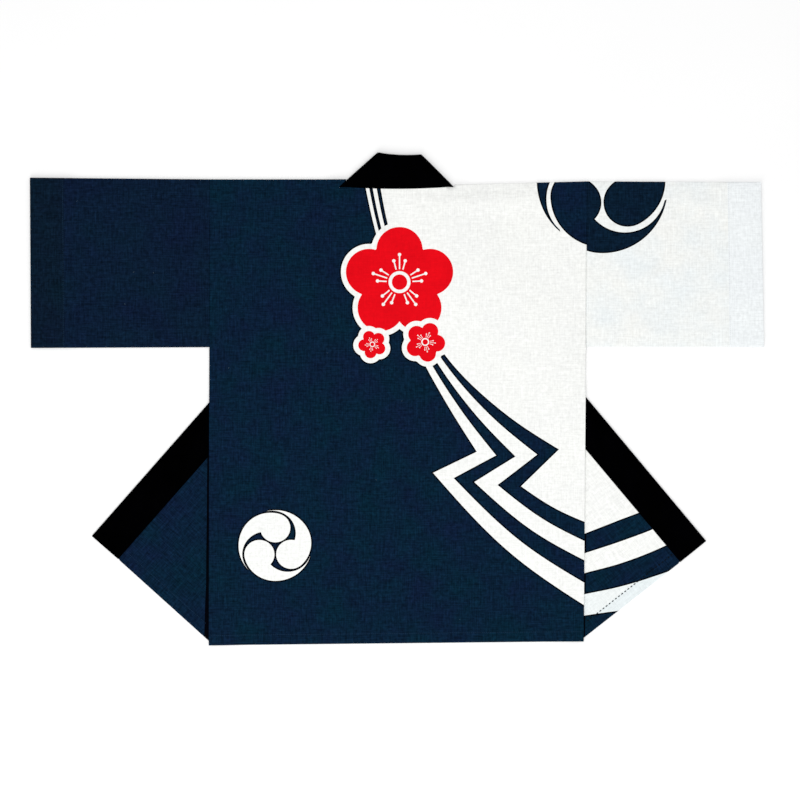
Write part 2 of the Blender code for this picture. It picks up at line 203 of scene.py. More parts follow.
LINT = (
    # x, y and size
    (-285.9, 52.8, 2.2),
    (-119.1, 78.3, 1.8),
    (-35.7, -137.9, 1.8),
    (8.5, -3.4, 1.6),
    (107.2, -376.1, 2.0),
    (-544.6, 337.0, 2.0),
    (-447.6, 216.2, 2.0),
    (-413.6, 214.5, 1.8),
    (-462.9, 161.7, 1.8),
)


def ramp(value, start, end):
    """Goes smoothly from 0 at start to 1 at end."""
    share = min(max((value - start) / (end - start), 0.0), 1.0)
    return share * share * (3.0 - 2.0 * share)


def spread(start, end, count):
    return [start + (end - start) * step / (count - 1) for step in range(count)]


def unit(angle):
    """The direction at an angle in degrees."""
    return Vector((cos(radians(angle)), sin(radians(angle))))


def spot(x, y):
    """A place on the table, given in millimetres."""
    return Vector((x, y)) * MM


def spots(table):
    return [spot(x, y) for x, y in table]


def heading(start, end):
    return (end - start).normalized()


class Edge:
    """A straight line on the table. Distances are positive on the side of one given point."""

    def __init__(self, start, end, inside):
        self.start = start
        self.end = end
        self.along = heading(start, end)
        self.normal = Vector((-self.along.y, self.along.x))
        if self.normal.dot(inside - start) < 0:
            self.normal.negate()

    def distance(self, point):
        return self.normal.dot(point - self.start)

    def mirror(self, point):
        return point - self.normal * (2.0 * self.distance(point))

    def crossing(self, distance, start, end):
        """The place between two points that is this far from the line."""
        first = self.distance(start)
        return start.lerp(end, (distance - first) / (self.distance(end) - first))

    def row(self, distance, before=0.0, after=0.0):
        """A line beside this one, made longer or shorter at its two ends."""
        move = self.normal * distance
        return [self.start + move - self.along * before, self.end + move + self.along * after]


class Side:
    """The corners and lines of one half of the coat."""

    def __init__(self, column):
        for name, row in CORNERS.items():
            setattr(self, name, spot(row[column], row[column + 1]))
        self.out = -1.0 if column == 0 else 1.0
        self.shoulder_line = Edge(self.shoulder, self.neck_fold, self.hem)
        self.fold = Edge(self.fold_hem, self.fold_top, self.hem)
        self.strip_edge = Edge(self.fold_top, self.front_corner, self.fold_hem)
        self.seam = Edge(self.fold_seam, self.neck, self.mitre)
        self.collar_edge = Edge(self.fold_top, self.mitre, self.neck)
        self.mitre_fold = Edge(self.neck, self.mitre, Vector((0.0, self.neck.y)))
        self.collar_width = self.strip_edge.distance(self.front_seam)
        self.side_line = Edge(self.underarm, self.hem, self.neck)
        self.arm_line = Edge(self.shoulder, self.underarm, self.neck)
        self.front_seam_line = Edge(self.fold_seam, self.front_seam, self.fold_hem)
        self.front_hem_line = Edge(self.fold_hem, self.front_seam, self.fold_top)

    def front_lift(self, place, climb_far=CLIMB_FAR):
        """How high a front lies off the table, over its own part that is folded under it."""
        depth = self.strip_edge.distance(place)
        climbed = ramp(depth, -climb_far, -CLIMB_NEAR) * COLLAR_RISE
        passed = ramp(depth, self.collar_width + DROP_START, self.collar_width + DROP_END)
        return climbed - passed * (COLLAR_RISE - STEP)

    def front_height(self, place):
        return SOLID_CLOTH / 2 + self.front_lift(place)

    def back_lift(self, place):
        """How high the back lies off the table over this front and its collar."""
        over_front = ramp(self.fold.distance(place), -DRAPE_FAR, -DRAPE_NEAR)
        over_front *= ramp(self.collar_edge.distance(place), -DRAPE_FAR, -DRAPE_NEAR)
        over_collar = ramp(self.seam.distance(place), -SEAM_CLIMB, -DRAPE_NEAR)
        layers = self.front_lift(place, BACK_CLIMB) + STEP + over_collar * (SOLID_COLLAR - SOLID_CLOTH)
        return over_front * layers


LEFT = Side(0)
RIGHT = Side(2)
HEM = Edge(LEFT.hem, RIGHT.hem, LEFT.shoulder)
NECK = Edge(LEFT.neck, RIGHT.neck, LEFT.hem)


def side_of(place):
    return LEFT if place.x < 0 else RIGHT


def crease_height(place, creases):
    """The sum of the ridges and troughs at a place, in metres."""
    total = 0.0
    for start_x, start_y, end_x, end_y, width, height in creases:
        start = spot(start_x, start_y)
        line = spot(end_x, end_y) - start
        width *= MM
        length = line.length
        offset = place - start
        along = offset.dot(line) / length
        if -width < along < length + width:
            across = (offset.x * line.y - offset.y * line.x) / length / width
            if abs(across) < 2.5:
                bow = CREASE_BOW * sin(pi * min(max(along / length, 0.0), 1.0))
                taper = ramp(along, -width, length * 0.4) * ramp(along, length + width, length * 0.6)
                total += height * MM * taper * exp(-2.0 * (across - bow) ** 2)
    return total


def billow(place):
    """Long low swells, where cloth doesn't lie quite flat on what is under it."""
    swell = sin(place.x * 23.0 + place.y * 9.0) * sin(place.y * 17.0 - place.x * 6.0 + 1.2)
    return (0.7 + 0.7 * swell) * MM


def back_relief(place):
    """What the back adds to the height of its layers, nothing at its edges."""
    side = side_of(place)
    fade = ramp(HEM.distance(place), BACK_HEM + 2 * MM, BACK_HEM + 14 * MM)
    fade *= ramp(abs(side.hem.x) - abs(place.x), 2 * MM, 26 * MM)
    fade *= ramp(side.shoulder_line.distance(place), RELIEF_NEAR, RELIEF_FAR)
    beside_neck = ramp(abs(place.x), 100 * MM, 150 * MM)
    fade *= max(ramp(NECK.distance(place), 3 * MM, 26 * MM), beside_neck)
    return fade * (billow(place) + max(crease_height(place, BACK_CREASES), -DEEPEST))


def back_over_fronts(place):
    """The height of the back where it lies over the fronts, or on the table between them."""
    lift = (LEFT.back_lift(place) ** 3 + RIGHT.back_lift(place) ** 3) ** (1 / 3)
    height = SOLID_CLOTH / 2 + lift
    beside_neck = max(LEFT.neck.x - place.x, place.x - RIGHT.neck.x)
    at_neck = ramp(NECK.distance(place), NECK_CLIMB, 0.0) * ramp(beside_neck, NECK_FADE, 2 * MM)
    return height + at_neck * (NECK_HEIGHT - height)


def seam_dip(distance):
    """How much lower a pressed seam lies, at this distance from it."""
    return SEAM_DIP * ramp(abs(distance), SEAM_REACH, 0.0)


def back_height(place):
    """The height of the back, which its own turned hem lifts along the bottom."""
    side = side_of(place)
    over_hem = ramp(HEM.distance(place), BACK_HEM + HEM_EASE, BACK_HEM)
    height = back_over_fronts(place) + over_hem * HEM_STEP + back_relief(place)
    at_armhole = ramp(place.y - side.underarm.y, 0.0, 8 * MM)
    return height - at_armhole * seam_dip(side.arm_line.distance(place))


def front_height(place):
    return side_of(place).front_height(place)


def close_side(side, place, height, lift):
    """Brings back and front together along a side seam, one wall of cloth apart."""
    reach = side.side_line.distance(place)
    if reach >= SIDE_ROLL or place.y > side.underarm.y:
        return height
    middle = (back_over_fronts(place) + front_height(place)) / 2 + lift * (WALL / 2 + 0.05 * MM)
    rest = 1.0 - max(reach, 0.0) / SIDE_ROLL
    closed = middle + (height - middle) * sqrt(1.0 - rest * rest)
    open_end = ramp(HEM.distance(place), BACK_HEM + 2 * MM, BACK_HEM + 16 * MM)
    open_end *= ramp(side.underarm.y - place.y, 0.0, 12 * MM)
    return height + (closed - height) * open_end


def folded_height(place):
    """The height of a front's folded part: on the table, over its turned hem, and into its collar."""
    side = side_of(place)
    over_hem = ramp(side.front_hem_line.distance(place), FRONT_HEM + HEM_EASE, FRONT_HEM)
    into_collar = ramp(side.front_seam_line.distance(place), SEAM_EASE, 0.0)
    shown = Vector((abs(place.x), place.y))
    past_back = ramp(shown.x - abs(side.hem.x), RELIEF_NEAR, RELIEF_FAR)
    relief = past_back * (1.0 - into_collar) * (1.0 - over_hem)
    relief *= 0.5 * billow(place) + max(crease_height(shown, FRONT_CREASES), 0.0)
    lift = max(over_hem * HEM_STEP, into_collar * (SOLID_COLLAR - SOLID_CLOTH) / 2)
    return SOLID_CLOTH / 2 + lift + relief


def turned_front_height(place):
    return SOLID_CLOTH / 2 - HEM_PRESS


def bend(distance, high, low):
    """How far cloth moves at a fold, and its height, on its way round from high to low."""
    radius = (high - low) / 2
    reach = abs(distance)
    if reach < FOLD_ROW:
        angle = distance / FOLD_ROW * pi / 2
        return radius * (1.0 - cos(angle)) - reach, (high + low) / 2 + radius * sin(angle)
    settled = (abs(radius) - FOLD_ROW) * ramp(reach, FOLD_SETTLE, FOLD_ROW)
    return settled, high if distance > 0 else low


def roll(point, line, top, bottom):
    """Takes a point of flat cloth round a fold line, from the layer on top to the one below."""
    distance = line.distance(point)
    place = point if distance >= 0 else line.mirror(point)
    move, height = bend(distance, top(place), bottom(place))
    return place + line.normal * move, height


def lay_body(point):
    """Lays one point of the flat body cloth: round the hem, the shoulder and a front's fold."""
    side = side_of(point)
    from_shoulder = side.shoulder_line.distance(point)
    in_neck = abs(point.x) <= abs(side.neck_cut.x) and point.y <= side.neck_seam.y + TUCK
    if from_shoulder > FOLD_SETTLE or in_neck:
        place, height = roll(point, HEM, back_height, back_over_fronts)
        height = close_side(side, place, height, 1.0)
    elif from_shoulder > -FOLD_SETTLE:
        place, height = roll(point, side.shoulder_line, back_height, front_height)
    else:
        on_front = side.shoulder_line.mirror(point)
        if side.fold.distance(on_front) > -FOLD_SETTLE:
            place, height = roll(on_front, side.fold, front_height, folded_height)
            if side.fold.distance(on_front) > FOLD_SETTLE:
                height = close_side(side, place, height, -1.0)
        else:
            folded = side.fold.mirror(on_front)
            place, height = roll(folded, side.front_hem_line, folded_height, turned_front_height)
    return Vector((place.x, place.y, height))


def fold_rows(line, before=0.0, after=0.0):
    """The rows of a fold, and one each side where the cloth lies flat again."""
    steps = [2 * step / FOLD_STEPS - 1 for step in range(FOLD_STEPS + 1)]
    offsets = [FOLD_ROW * step for step in steps] + [-FOLD_SETTLE, FOLD_SETTLE]
    return [line.row(offset, before, after) for offset in offsets]


def flat_front(side, places):
    """Where places on a front, with the front not folded out, are on the flat cloth."""
    return [side.shoulder_line.mirror(place) for place in places]


def flat_folded(side, places):
    """Where places on a front's folded part are on the flat cloth."""
    return flat_front(side, [side.fold.mirror(place) for place in places])


def front_outline(side):
    """The outline of one front on the flat cloth, from its armhole side round to the neck."""
    side_line = Edge(side.shoulder, side.hem, side.neck)
    side_low = side_line.start + side_line.along * (side.shoulder - side.fold_hem).y
    into_cloth = side.seam.normal * -1.0
    seam = side.front_seam_line
    slope = abs(side.fold.normal.dot(seam.along) / side.fold.along.dot(seam.along))
    down_fold = (side.fold_hem - side.fold_seam).normalized()
    beside_fold = side.fold_seam + side.fold.normal * FOLD_ROW * 2
    beside_fold += down_fold * ((FOLD_ROW * 2 + CORNER_ROOM) / slope)
    above_fold = side.seam.row(0.0, -CORNER_LENGTH)[0] + into_cloth * SEAM_GAP
    past_fold = seam.row(SEAM_GAP, -CORNER_LENGTH)[0]
    tucked_start = seam.row(-TUCK, -CORNER_LENGTH - 2 * TUCK)[0]
    tucked_end = seam.row(-TUCK, 0.0, -4 * MM)[1]
    hem = side.front_hem_line
    hem_end = hem.end - hem.along * 4 * MM
    hem_start = hem.start + hem.along * 12 * MM
    turn = hem.normal * -FRONT_HEM
    folded = [
        hem_start, hem_start + turn + hem.along * 6 * MM, hem_end + turn - hem.along * 6 * MM, hem_end,
        tucked_end, tucked_start, past_fold, beside_fold]
    below_fold = flat_front(side, [side_low, side.fold_hem]) + flat_folded(side, folded)
    return below_fold + flat_front(side, [beside_fold, above_fold, side.neck_cut]) + [
        side.neck_fold, side.neck_cut, side.neck_seam,
        side.neck_seam + Vector((-side.out * 2 * MM, TUCK - SEAM_GAP))]


def body_outline():
    """The whole body cut flat: back in the middle, a front above each shoulder."""
    left_in = HEM.mirror(LEFT.hem + (LEFT.shoulder - LEFT.hem).normalized() * BACK_HEM)
    right_in = HEM.mirror(RIGHT.hem + (RIGHT.shoulder - RIGHT.hem).normalized() * BACK_HEM)
    right_front = front_outline(RIGHT)
    left_front = front_outline(LEFT)
    left_front.reverse()
    return [left_in, right_in, RIGHT.hem, RIGHT.shoulder] + right_front + left_front + [
        LEFT.shoulder, LEFT.hem]


def body_rows():
    """The lines that the body's faces follow: its folds, and where it climbs over other layers."""
    rows = fold_rows(HEM, OVERRUN, OVERRUN)
    rows += [HEM.row(BACK_HEM + offset, OVERRUN, OVERRUN) for offset in (0.0, HEM_EASE / 2, HEM_EASE)]
    for side in (LEFT, RIGHT):
        rows += fold_rows(side.shoulder_line, OVERRUN, FOLD_ROW)
        past_seam = ROW_END - (side.fold_top - side.fold_seam).length
        rows += [flat_front(side, line) for line in fold_rows(side.fold, OVERRUN, past_seam)]
        hem = side.front_hem_line
        folded = fold_rows(hem, -14 * MM, -ROW_END)
        folded += [hem.row(FRONT_HEM + offset, -30 * MM, 0.0) for offset in (0.0, HEM_EASE)]
        folded += [side.front_seam_line.row(offset, -CORNER_LENGTH - 2 * TUCK, -ROW_END)
                   for offset in (0.0, SEAM_EASE / 2, SEAM_EASE)]
        rows += [flat_folded(side, line) for line in folded]
        rows += [side.arm_line.row(offset, -FOLD_SETTLE, 0.0) for offset in (SEAM_REACH / 2, SEAM_REACH)]
        for share in (0.08, 0.3, 0.6, 1.0):
            closing = side.side_line.row(SIDE_ROLL * share, 0.0, -BACK_HEM)
            rows += [closing, flat_front(side, closing)]
    return rows


def sampled(start, end, step):
    count = max(1, ceil((end - start).length / step))
    return [start.lerp(end, share / count) for share in range(count + 1)]


def inside(points, outline):
    """Which of many points a closed outline holds, by the crossings of a ray from each."""
    crossed = np.zeros(len(points), bool)
    for start, end in zip(outline, outline[1:] + outline[:1]):
        rise = end.y - start.y
        if rise != 0.0:
            spans = (start.y > points[:, 1]) != (end.y > points[:, 1])
            share = (points[:, 1] - start.y) / rise
            crossed ^= spans & (points[:, 0] < start.x + (end.x - start.x) * share)
    return crossed


def cut_cloth(outline, rows, prints):
    """Points and faces of a flat cut, and the dye of each face.

    The faces follow the outline, the rows and the edges of every printed figure.
    """
    lines = [sampled(*pair, GRID) for pair in zip(outline, outline[1:] + outline[:1])]
    lines += [sampled(start, end, GRID) for start, end in rows]
    lines += [figure + figure[:1] for _, figure, _ in prints]
    points = []
    links = []
    for line in lines:
        links += [(len(points) + step, len(points) + step + 1) for step in range(len(line) - 1)]
        points += line
    near = [place for line in lines for pair in zip(line, line[1:]) for place in sampled(*pair, GRID / 3)]
    tree = KDTree(len(near))
    for index, place in enumerate(near):
        tree.insert(place.to_3d(), index)
    tree.balance()
    low = Vector((min(place.x for place in outline), min(place.y for place in outline)))
    high = Vector((max(place.x for place in outline), max(place.y for place in outline)))
    field = []
    for row in range(int((high.y - low.y) / GRID) + 1):
        shift = GRID / 2 if row % 2 else 0.0
        for column in range(int((high.x - low.x) / GRID) + 1):
            field.append((low.x + shift + column * GRID, low.y + (row + 0.5) * GRID))
    kept = inside(np.array(field), outline)
    for place, keep in zip(field, kept):
        if keep and tree.find((place[0], place[1], 0.0))[2] > GRID * GRID_ROOM:
            points.append(Vector(place))
    found, _, triangles, _, _, _ = delaunay_2d_cdt(points, links, [], 0, WELD)
    places = np.array([tuple(place) for place in found])
    corners = np.array([tuple(triangle) for triangle in triangles])
    middles = places[corners].mean(axis=1)
    held = inside(middles, outline)
    dyes = np.zeros(len(corners), int)
    for dye, figure, over in prints:
        taken = inside(middles, figure)
        if over is not None:
            taken &= dyes == over
        dyes[taken] = dye
    return found, corners[held].tolist(), dyes[held].tolist()


def add_object(name, data):
    thing = bpy.data.objects.new(name, data)
    bpy.context.scene.collection.objects.link(thing)
    return thing


def add_shape(name, shape, cloth):
    """Makes an object of a finished bmesh, all of one material."""
    mesh = bpy.data.meshes.new(name)
    shape.to_mesh(mesh)
    shape.free()
    mesh.materials.append(cloth)
    return add_object(name, mesh)


def make_sheet(name, flat, places, faces, dyes, cloths, wall=WALL):
    """A sheet of cloth as an object, with its flat cut as its texture coordinates in metres."""
    used = sorted({corner for face in faces for corner in face})
    renumber = {old: new for new, old in enumerate(used)}
    mesh = bpy.data.meshes.new(name)
    mesh.from_pydata([places[corner] for corner in used], [], [[renumber[c] for c in face] for face in faces])
    cut = mesh.uv_layers.new(name="cut")
    for loop in mesh.loops:
        cut.data[loop.index].uv = flat[used[loop.vertex_index]]
    mesh.shade_smooth()
    for cloth in cloths:
        mesh.materials.append(cloth)
    for polygon, dye in zip(mesh.polygons, dyes):
        polygon.material_index = dye
    sheet = add_object(name, mesh)
    shell = sheet.modifiers.new("wall", "SOLIDIFY")
    shell.thickness = wall
    shell.offset = 0.0
    shell.use_quality_normals = True
    return sheet


# Dyes, as the places of the cloths in a sheet's list of materials
NAVY = 0
WHITE = 1
# LINE is the dark edge of the print, and also the painted shadow beside the back's side edges
LINE = 2
DOUBLE = 3
RED = 4
# painted shade: a cooler, darker white over the lower part of the right front
PAINTED_SHADE = 5
PLAIN_CUFF = 1             # the left sleeve has only two cloths
LINE_WIDTH = 2.4 * MM      # where navy dye gathers along a white figure, and dries darker

# The run of five stripes' edges, in millimetres. First is the edge beside the navy ground, last the
# edge beside the white ground. Middle is the share at which the middle edge lies between them, and
# bulge how far it lies below the straight line.
STRIPES_TO_RIGHT_CORNER = (
    # first x, first y, last x, last y, middle, bulge
    (-55.7, 371.0, -30.0, 371.0, 0.47, 0.0),
    (-41.0, 302.3, -16.9, 302.3, 0.47, 0.0),
    (34.5, 83.9, 88.2, 66.4, 0.47, 0.0),
    (83.9, -6.8, 187.0, -27.4, 0.47, 8.5),
    (135.8, -89.7, 275.2, -85.6, 0.47, 9.9),
)
STRIPES_TO_SIDE = (
    (61.3, -125.6, 210.7, -148.4, 0.47, 5.0),
    (195.4, -264.1, 267.5, -185.2, 0.50, 0.0),
    (325.1, -355.0, 325.1, -211.4, 0.54, 0.0),
)
STRIPES_ON_FRONT = (
    (90.2, -410.2, 90.2, -316.6, 0.516, 0.0),
    (316.9, -368.8, 323.0, -227.6, 0.516, 0.0),
    (379.0, -358.9, 379.0, -205.6, 0.515, 0.0),
    (464.6, -337.0, 464.6, -170.9, 0.55, 0.0),
    (530.0, -312.0, 530.0, -128.0, 0.56, 0.0),
)

# Three-comma figures, in millimetres: x, y, radius, and height for each unit of width. The rest are
# shares of the radius: how far out a comma's head lies and the head's radius, then the same for the
# circle along the inside of its tail, which is turned on from the head by the degrees given last.
SMALL_COMMAS = (-207.0, -249.2, 62.2, 0.968, 0.500, 0.410, 0.356, 0.640, 13.2)
LARGE_COMMAS_BODY = (348.9, 369.3, 111.0, 1.0, 0.458, 0.398, 0.350, 0.630, 20.0)
LARGE_COMMAS_SLEEVE = (349.2, 359.0, 111.0, 1.0, 0.447, 0.371, 0.350, 0.622, 20.0)
UPPER_COMMA_LIFT = 6.0     # the sleeve's upper comma lies wholly past the fold
COMMA_SHOULDER = 60.0      # a head's outside runs into the rim this many degrees on from it
SHARPEST = 0.35            # a line drawn beside another isn't drawn out further than this at a corner

# Plum blossoms in the middle of the back, in millimetres: place, radius and turn in degrees
BLOSSOMS = (
    (4.3, 198.9, 93.7, 90.0),
    (48.0, 97.0, 34.0, 66.0),
    (-42.0, 93.0, 24.0, 114.0),
)
BLOSSOM_RIM = 8.5
PETALS = 5
PETAL_ANGLE = 360.0 / PETALS
# Shares of a blossom's radius
PETAL_REACH = 0.58         # from its middle to the middle of a petal
PETAL_SIZE = 0.42
RING = 0.20
RING_HOLE = 0.14
STAMEN_FOOT = 0.235
STAMEN_HALF = 0.012
STAMEN_TIP = 0.033
STAMENS = ((-15.0, 0.40), (0.0, 0.50), (15.0, 0.40))   # lean in degrees, and reach


def arc(centre, radius, start, end, step=PRINT_STEP):
    """Points on a circle from one angle to another, in degrees."""
    count = max(6, ceil(abs(radians(end - start)) * radius / step))
    return [centre + unit(angle) * radius for angle in spread(start, end, count + 1)]


def direction(start, end):
    return degrees(atan2(end.y - start.y, end.x - start.x))


def following(angle, start):
    """The same direction as the next one counter-clockwise after start."""
    return start + (angle - start) % 360.0


def three_commas(x, y, size, height, head, head_size, tail, tail_size, turn_on):
    """The outlines of three commas that chase each other round a circle."""
    middle = spot(x, y)
    size *= MM
    step = PRINT_STEP / size
    rest = 1.0 - head_size
    shoulder = (rest ** 2 - head ** 2) / (2.0 * rest - head)
    outlines = []
    for turn in (90.0, 210.0, 330.0):
        rim_way = turn + COMMA_SHOULDER
        tail_way = turn + 120.0 + turn_on
        head_centre = unit(turn) * head
        shoulder_centre = unit(rim_way) * shoulder
        tail_centre = unit(tail_way) * tail
        apart = (head_centre - tail_centre).length
        opening = degrees(acos(
            (apart ** 2 + tail_size ** 2 - head_size ** 2) / (2.0 * apart * tail_size)))
        notch_way = following(direction(tail_centre, head_centre) + opening, turn - 180.0)
        notch = tail_centre + unit(notch_way) * tail_size
        head_way = direction(head_centre, notch)
        meet_way = direction(shoulder_centre, head_centre)
        outline = arc(Vector((0.0, 0.0)), 1.0, rim_way, tail_way, step)
        outline += arc(tail_centre, tail_size, tail_way, notch_way, step)[1:]
        outline += arc(head_centre, head_size, head_way, following(meet_way, head_way), step)[1:]
        outline += arc(shoulder_centre, 1.0 - shoulder, meet_way, following(rim_way, meet_way), step)[1:-1]
        outlines.append([middle + Vector((place.x, place.y * height)) * size for place in outline])
    return outlines


def sleeve_commas():
    """The commas of the right sleeve. The upper one lies on the side that isn't seen."""
    upper, left, right = three_commas(*LARGE_COMMAS_SLEEVE)
    return [[place + spot(0.0, UPPER_COMMA_LIFT) for place in upper], left, right]


def beside(line, distance, closed=False):
    """A line to the left of another at this distance, or to its right if it is below 0."""
    shifted = []
    last = len(line) - 1
    for index, place in enumerate(line):
        before = line[index - 1] if index or closed else place * 2 - line[1]
        after = line[(index + 1) % len(line)] if index < last or closed else place * 2 - line[last - 1]
        coming = heading(before, place)
        going = heading(place, after)
        across = Vector((-coming.y - going.y, coming.x + going.x))
        shifted.append(place + across * (distance / max(1.0 + coming.dot(going), SHARPEST)))
    return shifted


def blossom(x, y, size, turn, rim=0.0):
    """The outline of a flower of five round petals."""
    reach = size * PETAL_REACH
    petal = size * PETAL_SIZE + rim
    outline = []
    count = max(60, int(size * 2 * pi / 3.0))
    for angle in spread(0.0, 360.0, count + 1)[:-1]:
        across = radians((angle + PETAL_ANGLE / 2) % PETAL_ANGLE - PETAL_ANGLE / 2)
        radius = reach * cos(across) + sqrt(petal ** 2 - (reach * sin(across)) ** 2)
        outline.append((Vector((x, y)) + unit(angle + turn) * radius) * MM)
    return outline


def disc(centre, radius):
    return arc(centre, radius * MM, 0.0, 360.0)[:-1]


def blossom_figures():
    """Red flowers with a white rim, a white ring and white stamens, the smaller ones on top."""
    figures = []
    for x, y, size, turn in BLOSSOMS:
        centre = spot(x, y)
        figures.append((LINE, blossom(x, y, size, turn, BLOSSOM_RIM + LINE_WIDTH / MM), NAVY))
        figures.append((WHITE, blossom(x, y, size, turn, BLOSSOM_RIM), None))
        figures.append((RED, blossom(x, y, size, turn), None))
        figures.append((WHITE, disc(centre, size * RING), None))
        figures.append((RED, disc(centre, size * RING_HOLE), None))
        for petal in range(PETALS):
            for lean, length in STAMENS:
                angle = turn + petal * PETAL_ANGLE + lean
                across = unit(angle + 90.0) * size * STAMEN_HALF * MM
                foot = centre + unit(angle) * size * STAMEN_FOOT * MM
                tip = centre + unit(angle) * size * length * MM
                figures.append((WHITE, [foot - across, tip - across, tip + across, foot + across], None))
                figures.append((WHITE, disc(tip, size * STAMEN_TIP), None))
    return figures


def smooth_line(stops):
    """A smooth line through its stops, in short steps."""
    chords = [(end - start) for start, end in zip(stops, stops[1:])]
    slopes = []
    for before, after in zip(chords, chords[1:]):
        slopes.append((before / before.length * after.length + after / after.length * before.length)
                      / (before.length + after.length))
    first = chords[0] / chords[0].length * 1.5 - slopes[0] * 0.5
    last = chords[-1] / chords[-1].length * 1.5 - slopes[-1] * 0.5
    slopes = [first] + slopes + [last]
    line = [stops[0]]
    for index, chord in enumerate(chords):
        length = chord.length
        count = max(2, round(length / PRINT_STEP))
        for step in range(1, count + 1):
            share = step / count
            rest = 1.0 - share
            line.append(
                stops[index] * (rest * rest * (1.0 + 2.0 * share))
                + stops[index + 1] * (share * share * (3.0 - 2.0 * share))
                + slopes[index] * (length * share * rest * rest)
                - slopes[index + 1] * (length * share * share * rest))
    return line


def stripe_stops(rows, edge):
    """Where one of the five edges passes each row of a stripe table."""
    stops = []
    for first_x, first_y, last_x, last_y, middle, bulge in rows:
        share = (0.0, middle / 2, middle, (1.0 + middle) / 2, 1.0)[edge]
        place = Vector((first_x, first_y)).lerp(Vector((last_x, last_y)), share)
        place.y -= bulge * 4.0 * share * (1.0 - share)
        stops.append(place * MM)
    return stops


def stripe_figures(lines):
    """Two white stripes, and the dark lines on the navy side of all five edges."""
    figures = [(WHITE, lines[0] + lines[1][::-1], None), (WHITE, lines[2] + lines[3][::-1], None)]
    for edge, line in enumerate(lines):
        shifted = beside(line, LINE_WIDTH if edge % 2 else -LINE_WIDTH)
        figures.append((LINE, line + shifted[::-1], NAVY))
    return figures


def white_commas(commas):
    figures = [(LINE, beside(outline, -LINE_WIDTH, True), NAVY) for outline in commas]
    return figures + [(WHITE, outline, None) for outline in commas]


def navy_commas(commas):
    figures = [(LINE, outline, None) for outline in commas]
    return figures + [(NAVY, beside(outline, LINE_WIDTH, True), LINE) for outline in commas]


def body_prints():
    """The dyed figures of the body on its flat cloth: a dye, an outline, and what it takes over."""
    back = []
    front = []
    for edge in range(5):
        upper = smooth_line(stripe_stops(STRIPES_TO_RIGHT_CORNER, edge))
        lower = smooth_line(stripe_stops(STRIPES_TO_SIDE, edge))
        back.append(upper + sampled(upper[-1], lower[0], PRINT_STEP)[1:-1] + lower)
        front.append(smooth_line(stripe_stops(STRIPES_ON_FRONT, edge)))
    far = spots(((450.0, -211.4), (450.0, 1300.0), (0.0, 1300.0), (0.0, 385.0)))
    past_hem = spots(((560.0, -600.0), (60.0, -600.0)))
    hem = RIGHT.front_hem_line
    on_front = [(NAVY, front[4] + past_hem, None)] + stripe_figures(front)
    # painted shade over the white of the right front's lower part
    on_front.append((PAINTED_SHADE, front[1] + past_hem, WHITE))
    on_front.append((DOUBLE, hem.row(-FRONT_HEM) + hem.row(FRONT_HEM)[::-1], PAINTED_SHADE))
    # painted shadow on the right front beside the back's side edge, in the dark line dye
    on_front.append((LINE, spots(RIGHT_PAINTED_SHADOW), NAVY))
    figures = [(WHITE, back[4] + far, None)] + stripe_figures(back)
    figures += [(dye, flat_folded(RIGHT, outline), over) for dye, outline, over in on_front]
    # painted shadow on the left front beside the back's side edge, in the dark line dye
    figures.append((LINE, flat_folded(LEFT, spots(LEFT_PAINTED_SHADOW)), NAVY))
    figures += white_commas(three_commas(*SMALL_COMMAS))
    figures += navy_commas(three_commas(*LARGE_COMMAS_BODY))
    return figures + blossom_figures()


